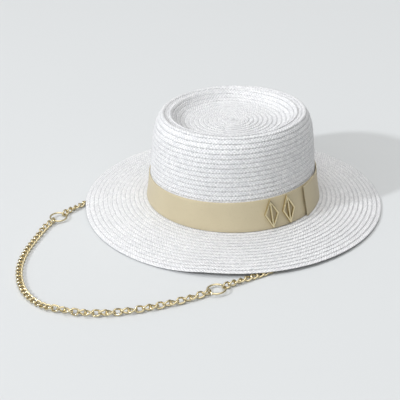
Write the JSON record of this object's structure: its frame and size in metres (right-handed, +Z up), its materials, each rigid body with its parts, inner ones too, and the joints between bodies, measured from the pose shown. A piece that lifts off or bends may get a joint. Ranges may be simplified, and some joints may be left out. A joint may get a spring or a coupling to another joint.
{
  "type": "straw hat with brim chain",
  "caption": "Woman's straw hat with a sunk-tip crown, wide flat brim, lapped tan band with open ornaments, and a loose curb chain with rings that loops below the brim.",
  "frame": {"origin": "on the surface the hat stands on, under the middle of the outline of hat and chain", "axes": "+Z up; the wearer faces -Y, so the chain lies in front of the brim towards -Y; +X is the wearer's left, with the band's lap and the ornaments"},
  "size_m": [0.323, 0.4354, 0.1068],
  "materials": {
    "straw": "white paper-straw braid sewn in overlapping rows, matt",
    "band": "smooth tan imitation leather, low sheen",
    "gold": "polished light gold plating"
  },
  "bodies": {
    "root": {"crown": "straw", "brim": "straw", "band": "band", "ornament_front": "gold", "ornament_rear": "gold", "chain_left_1": "gold", "chain_left_2": "gold", "chain_left_3": "gold", "ring_left": "gold", "chain_front_1": "gold", "chain_front_2": "gold", "chain_front_3": "gold", "chain_front_4": "gold", "chain_front_5": "gold", "chain_front_6": "gold", "ring_right": "gold", "chain_right_1": "gold", "chain_right_2": "gold", "chain_right_3": "gold", "loop_left": "gold", "loop_right": "gold"}
  },
  "joints": []
}
